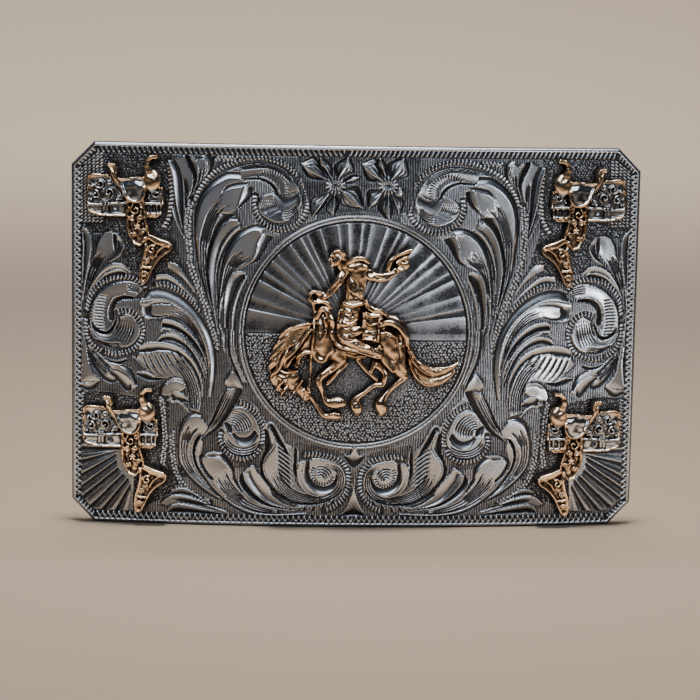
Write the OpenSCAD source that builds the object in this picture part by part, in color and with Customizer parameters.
// Western trophy belt buckle: a carved face sheet on a backing plate, cast ornaments
// pegged through both, and on the back a swinging strap bail and a fixed belt hook.
// Frame: +X to the right of the face, +Z up, the face looks along -Y. The origin is the
// middle of the face sheet's bottom edge. Millimetres.

/* [Plate] */
// Width across the ends of the plate
plate_w = 89; // [87:0.5:92]
// Height of the plate
plate_h = 60; // [59:0.5:64]
// Size of the cut at each corner, along both edges
corner_cut = 3.6; // [2:0.1:5]
// Radius of the carved front surface, bent about a vertical axis
bend_r = 250; // [240:5:300]
// Thickness of the carved face sheet
face_t = 1.2; // [1:0.1:1.5]
// Thickness of the backing plate
back_t = 1; // [0.8:0.1:1.4]

/* [Strap bail] */
// Distance of the hinge axis from the middle of the plate
hinge_x = 33; // [30:0.5:34]
// Reach of the bail from the hinge axis to its outer bar
bail_reach = 21.5; // [18:0.5:24]
// Half the distance between the middles of the bail's two arms
bail_half = 22; // [21:0.5:24]
// Radius of the bail wire
wire_r = 1.3; // [1.1:0.05:1.4]
// Outside radius of the hinge barrel
barrel_r = 2.1; // [1.9:0.05:2.3]
// Running clearance between the wire and the barrel's bore
hinge_gap = 0.05; // [0.03:0.01:0.08]

/* [Belt hook] */
// Distance of the hook's post from the middle of the plate
hook_x = 34.5; // [32:0.5:36]
// Radius of the hook's post and prong
prong_r = 1.9; // [1.6:0.1:2.1]
// Centreline radius of the hook's bend
hook_bend_r = 4.5; // [4.25:0.25:5]
// Straight height of the post above its base
post_h = 2.5; // [2.25:0.25:3]

/* [Ornaments] */
// Height of the highest relief above the face
relief_h = 3; // [2.6:0.1:3.2]
// Height of the saddles' seats above the face
saddle_h = 1.7; // [1.4:0.1:2]

/* [Hidden] */

mid_z = plate_h / 2;
mid_r = bend_r - face_t;                 // where the two sheets meet
back_r = mid_r - back_t;                 // the back surface
bend_y = bend_r - face_t / 2;            // the axis of the bend
arc_fn = 256;
round_fn = 48;

// Saddle places, each the lowest point of the seat; side -1 faces the horn to the right.
SADDLES = [[-34.2, 50.7, -1], [34.2, 50.8, 1], [-34.9, 14.4, -1], [34.6, 14.2, 1]];
saddle_peg = [[5.2, 1.5], [0, 1.9]];     // from that point, outwards and up
rider_peg = [[-9.6, 29], [-3.2, 30.4], [5.2, 31]];
peg_r = 0.7;
peg_head_r = 1;
peg_head_h = 0.25;
hole_gap = 0.02;

leaf_t = 1;
leaf_w = 10.6;
leaf_h = 24;
barrel_h = 2 * bail_half - 5;
web_w = 2.8;                             // the leaf's neck under the barrel
web_h = 21;
pin_in = 10;                             // how far from mid height the wire's ends stop
bend_small = 2;                          // bend at the hinge end of each arm
bend_big = 3.2;                          // bend at the outer end
rivet_r = 0.8;
rivet_head_r = 1.15;
rivet_head_h = 0.6;
hinge_rivet = [[-4.1, -9.5], [4.1, -9.5], [-4.1, 9.5], [4.1, 9.5]];
hook_base_t = 1;
hook_base_w = 11;
hook_base_h = 13;
hook_rivet = [[0, -4.6], [0, 4.6]];
hook_sweep = 68;
prong_tip_r = prong_r + 0.2;             // the prong ends in a slightly swollen ball

// y of a surface of radius r at x, measured on the bend.
function surface_y(r, x) = bend_y - sqrt(r * r - x * x);
function lean(r, x) = asin(x / r);
hinge_y = surface_y(back_r - leaf_t, hinge_x) + barrel_r - 0.45;

// The material between two radii of the bend.
module shell(r_in, r_out) {
    translate([0, bend_y, -5]) difference() {
        cylinder(r = r_out, h = plate_h + 10, $fn = arc_fn);
        translate([0, 0, -1]) cylinder(r = r_in, h = plate_h + 12, $fn = arc_fn);
    }
}

// A flat outline in x and z, cut out of the bent layer between two radii.
module layer(r_in, r_out) {
    intersection() {
        shell(r_in, r_out);
        translate([0, 20, 0]) rotate([90, 0, 0]) linear_extrude(height = 30) children();
    }
}

// Children drawn along +z stand square on the plate at x, z, with z = 0 on radius r and
// pointing out of the back.
module from_back(x, z, r) {
    translate([0, bend_y, z]) rotate([0, 0, lean(bend_r, x)]) translate([0, -r, 0])
        rotate([-90, 0, 0]) children();
}

// An upright rectangle with its corners cut off, centred on x, z.
module tag_outline(x, z, w, h, cut) {
    a = w / 2;
    b = h / 2;
    translate([x, z]) polygon([[-a, cut - b], [cut - a, -b], [a - cut, -b], [a, cut - b],
        [a, b - cut], [a - cut, b], [cut - a, b], [-a, b - cut]]);
}

module peg_hole(x, z) {
    from_back(x, z, bend_r + 1)
        cylinder(r = peg_r + hole_gap, h = face_t + back_t + 2, $fn = round_fn);
}

module peg_holes() {
    for (p = rider_peg) peg_hole(p[0], p[1]);
    for (s = SADDLES, p = saddle_peg) peg_hole(s[0] + s[2] * p[0], s[1] + p[1]);
}

// A cast peg with its head spread on the back of the buckle.
module peg(x, z) {
    from_back(x, z, bend_r + 0.2) cylinder(r = peg_r, h = face_t + back_t + 0.3, $fn = round_fn);
    intersection() {
        shell(back_r - peg_head_h, back_r);
        from_back(x, z, back_r + 0.5) cylinder(r = peg_head_r, h = 1.5, $fn = round_fn);
    }
}

module face_plate() {
    color([0.42, 0.42, 0.43]) difference() {
        layer(mid_r, bend_r) tag_outline(0, mid_z, plate_w, plate_h, corner_cut);
        peg_holes();
    }
}

module back_plate() {
    color([0.62, 0.61, 0.58]) difference() {
        layer(back_r, mid_r) tag_outline(0, mid_z, plate_w, plate_h, corner_cut);
        peg_holes();
        for (p = hinge_rivet) rivet_hole(-hinge_x + p[0], mid_z + p[1]);
        for (p = hook_rivet) rivet_hole(hook_x - 3 + p[0], mid_z + p[1]);
    }
}

// ---- Bucking horse and rider, one casting in three heights of relief ----

module horse_outline() {
    polygon([[-13.6, 26.9], [-12.9, 25.6], [-12.6, 23.2], [-11.6, 21.4], [-10.8, 22], [-8.2, 20.1],
        [-7, 20.2], [-5, 17.4], [-2.4, 17.3], [-2.5, 18.3], [-4.6, 18.5], [-6, 20.3], [-7.2, 21.8],
        [-8.2, 23.4], [-8.6, 25.8], [-7.4, 27], [-5.6, 26], [-4.3, 25.4], [-6.2, 23.7], [-5.2, 20.4],
        [-4.2, 19.3], [-2.4, 19.3], [-1.7, 20.2], [-2.8, 21], [-4.4, 20.8], [-5.3, 23.2], [-2.2, 25],
        [-1, 26.7], [0.6, 26.4], [3.3, 23.4], [0.4, 21.6], [-0.7, 19.9], [-0.1, 18.1], [1.2, 18.9],
        [0.9, 20.2], [1.8, 21.5], [4.3, 23.1], [4.9, 22.6], [3.2, 20], [3.8, 18], [4.9, 19.3],
        [4.6, 20.5], [5.6, 22.2], [8.2, 24.1], [7.4, 26], [8.1, 27.6], [8.8, 24.7], [11.6, 22.9],
        [14, 23.6], [15.8, 26], [13, 25.3], [10.4, 25.8], [8.7, 28.6], [7.9, 31.4], [5.6, 33.6],
        [2.4, 34.8], [-3.4, 34.4], [-5.2, 35], [-6.6, 32.4], [-8.2, 32.7], [-11.8, 30.4]]);
}

module body_outline() {
    polygon([[-12.4, 26.6], [-11.8, 23.6], [-9.6, 22.3], [-9.2, 25], [-7.6, 27.8], [-5.6, 26.7],
        [-2.4, 28.4], [1.8, 27.2], [5, 26.2], [7.3, 27.4], [7.8, 30.8], [5.4, 33.2], [1.6, 34.4],
        [-3.4, 33.8], [-6.8, 31.8], [-10.8, 30.2]]);
}

module rider_outline() {
    polygon([[-7.7, 37.2], [-6.9, 35], [-6.1, 36], [-4.6, 36.2], [-2.5, 38.3], [-2.3, 36.4],
        [-3, 33.4], [-3.9, 30.2], [-2.4, 28.9], [1.4, 27.7], [3.6, 27], [4.1, 28.3], [2.9, 29.6],
        [3.3, 33.4], [1.4, 36.6], [1.2, 38.6], [4.6, 39.2], [7, 40.6], [8.1, 42.4], [8.4, 44.1],
        [7.6, 44.2], [5, 42.8], [4.3, 41.2], [1.6, 41.2], [1.5, 42.6], [0, 43.2], [-1.5, 42.5],
        [-2, 43.7], [-3.6, 44.2], [-4.6, 43.1], [-3.9, 41.2], [-2.5, 41], [-3.8, 38.6],
        [-4.8, 37.6], [-6.6, 37.9]]);
}

module bronc_rider() {
    color([0.80, 0.58, 0.36]) {
        union() {
            layer(bend_r, bend_r + 1.1) horse_outline();
            layer(bend_r, bend_r + 2.2) body_outline();
            layer(bend_r, bend_r + relief_h) rider_outline();
            for (p = rider_peg) peg(p[0], p[1]);
        }
    }
}

// ---- Saddle casting, outwards is +x and the seat's lowest point is the origin ----

module skirts_outline() {
    polygon([[7.5, 4], [6.8, 4.4], [4.4, 4.2], [-1.4, 2.5], [-4.1, 2.4], [-4.2, -0.2], [-3.8, -1.7],
        [-3.3, -2.1], [-1.2, -2.1], [1.4, -2], [4.6, -1.9], [7.2, -1.3], [7.5, -0.6]]);
}

module fender_outline() {
    polygon([[1.5, 0.4], [1.5, -3.6], [1, -4.8], [0.2, -6.4], [-0.8, -6.2], [-2, -5.2],
        [-1.6, -2.6], [-1.3, 0.4]]);
}

module stirrup_cover_outline() {
    polygon([[-2, -4.6], [-3.2, -5.9], [-5.6, -6.2], [-5.5, -7], [-3.2, -9.2], [-1.9, -11.8],
        [-1.2, -12.3], [-0.8, -11.6], [-0.8, -9.6], [-1.3, -7], [-1.6, -5.4]]);
}

module seat_outline() {
    polygon([[4.1, 5.9], [3.2, 5.8], [2.8, 4.6], [1.9, 4], [-1.1, 4.1], [-1.4, 5.5], [-1.7, 6.7],
        [-3.5, 7], [-3.5, 6.4], [-2.4, 6], [-2.2, 5.4], [-3.6, 4.4], [-3.7, 3], [-2.4, 1.9],
        [-1.4, 1.8], [-1.2, 0.5], [-0.6, 0.05], [0.6, 0], [1.4, 0.7], [2, 1.9], [3, 3], [3.7, 4.4]]);
}

module saddle(s) {
    color([0.83, 0.72, 0.58]) union() {
        placed(s, 0.9) skirts_outline();
        placed(s, 1.2) fender_outline();
        placed(s, saddle_h) stirrup_cover_outline();
        placed(s, saddle_h) seat_outline();
        for (p = saddle_peg) peg(s[0] + s[2] * p[0], s[1] + p[1]);
    }
}

module placed(s, h) {
    layer(bend_r, bend_r + h) translate([s[0], s[1]]) scale([s[2], 1]) children();
}

// ---- Fasteners ----

module rivet_hole(x, z) {
    from_back(x, z, mid_r + 0.5) cylinder(r = rivet_r + hole_gap, h = 5, $fn = round_fn);
}

// Rivet from the joint of the two sheets, through a fitting of thickness t on the back.
module rivet(x, z, t) {
    seat_r = back_r - t;
    intersection() {
        from_back(x, z, mid_r + 0.5) cylinder(r = rivet_r, h = back_t + t + 0.8, $fn = round_fn);
        shell(seat_r - 0.2, mid_r);
    }
    intersection() {
        from_back(x, z, seat_r + 0.5)
            cylinder(r1 = rivet_head_r, r2 = rivet_head_r * 0.62, h = rivet_head_h + 0.5, $fn = round_fn);
        shell(seat_r - 2, seat_r);
    }
}

module hinge_rivets() {
    color([0.60, 0.58, 0.54]) for (p = hinge_rivet) rivet(-hinge_x + p[0], mid_z + p[1], leaf_t);
}

module hook_rivets() {
    color([0.60, 0.58, 0.54]) for (p = hook_rivet) rivet(hook_x - 3 + p[0], mid_z + p[1], hook_base_t);
}

// ---- Hinge and bail ----

module hinge_leaf() {
    color([0.66, 0.64, 0.60]) difference() {
        union() {
            difference() {
                layer(back_r - leaf_t, back_r) tag_outline(-hinge_x, mid_z, leaf_w, leaf_h, 1.5);
                for (p = hinge_rivet) rivet_hole(-hinge_x + p[0], mid_z + p[1]);
            }
            translate([-hinge_x, hinge_y, mid_z - barrel_h / 2])
                cylinder(r = barrel_r, h = barrel_h, $fn = round_fn);
            translate([-hinge_x - web_w / 2, hinge_y - barrel_r - 0.2, mid_z - web_h / 2])
                cube([web_w, barrel_r, web_h]);
        }
        translate([-hinge_x, hinge_y, mid_z - barrel_h / 2 - 1])
            cylinder(r = wire_r + hinge_gap, h = barrel_h + 2, $fn = round_fn);
    }
}

// Half of the bail above mid height: pin, small bend, arm, big bend and half the outer bar.
module bail_half_loop() {
    pin_top = bail_half - bend_small;
    translate([0, 0, pin_in]) cylinder(r = wire_r, h = pin_top - pin_in, $fn = round_fn);
    translate([bend_small, 0, pin_top]) rotate([90, 0, 0]) rotate([0, 0, 90])
        rotate_extrude(angle = 90, $fn = round_fn) translate([bend_small, 0]) circle(r = wire_r, $fn = round_fn);
    translate([bend_small, 0, bail_half]) rotate([0, 90, 0])
        cylinder(r = wire_r, h = bail_reach - bend_small - bend_big, $fn = round_fn);
    translate([bail_reach - bend_big, 0, bail_half - bend_big]) rotate([90, 0, 0])
        rotate_extrude(angle = 90, $fn = round_fn) translate([bend_big, 0]) circle(r = wire_r, $fn = round_fn);
    translate([bail_reach, 0, 0]) cylinder(r = wire_r, h = bail_half - bend_big, $fn = round_fn);
}

module bail() {
    color([0.68, 0.66, 0.62]) translate([-hinge_x, hinge_y, mid_z]) union() {
        bail_half_loop();
        mirror([0, 0, 1]) bail_half_loop();
    }
}

// ---- Belt hook ----

module hook_base() {
    color([0.66, 0.64, 0.60]) difference() {
        layer(back_r - hook_base_t, back_r)
            tag_outline(hook_x - 2, mid_z, hook_base_w, hook_base_h, 2);
        for (p = hook_rivet) rivet_hole(hook_x - 3 + p[0], mid_z + p[1]);
        from_back(hook_x, mid_z, back_r + 0.5)
            cylinder(r = prong_r + hole_gap, h = 3, $fn = round_fn);
    }
}

// The prong rises from the back and bends towards the bail, so a belt's pull seats it.
module hook_prong() {
    rise = hook_base_t + post_h;
    color([0.68, 0.66, 0.62]) intersection() {
        shell(back_r - 20, back_r);
        union() {
            from_back(hook_x, mid_z, back_r + 0.5) cylinder(r = prong_r, h = rise + 0.5, $fn = round_fn);
            from_back(hook_x, mid_z, back_r - rise)
                translate([-hook_bend_r, 0, 0]) rotate([90, 0, 0]) {
                    rotate_extrude(angle = hook_sweep, $fn = round_fn)
                        translate([hook_bend_r, 0]) circle(r = prong_r, $fn = round_fn);
                    rotate([0, 0, hook_sweep]) translate([hook_bend_r, 0, 0])
                        sphere(r = prong_tip_r, $fn = round_fn);
                }
        }
    }
}

face_plate();
back_plate();
bronc_rider();
saddle(SADDLES[0]);  // saddle_upper_left
saddle(SADDLES[1]);  // saddle_upper_right
saddle(SADDLES[2]);  // saddle_lower_left
saddle(SADDLES[3]);  // saddle_lower_right
hinge_leaf();
bail();
hinge_rivets();
hook_base();
hook_prong();
hook_rivets();
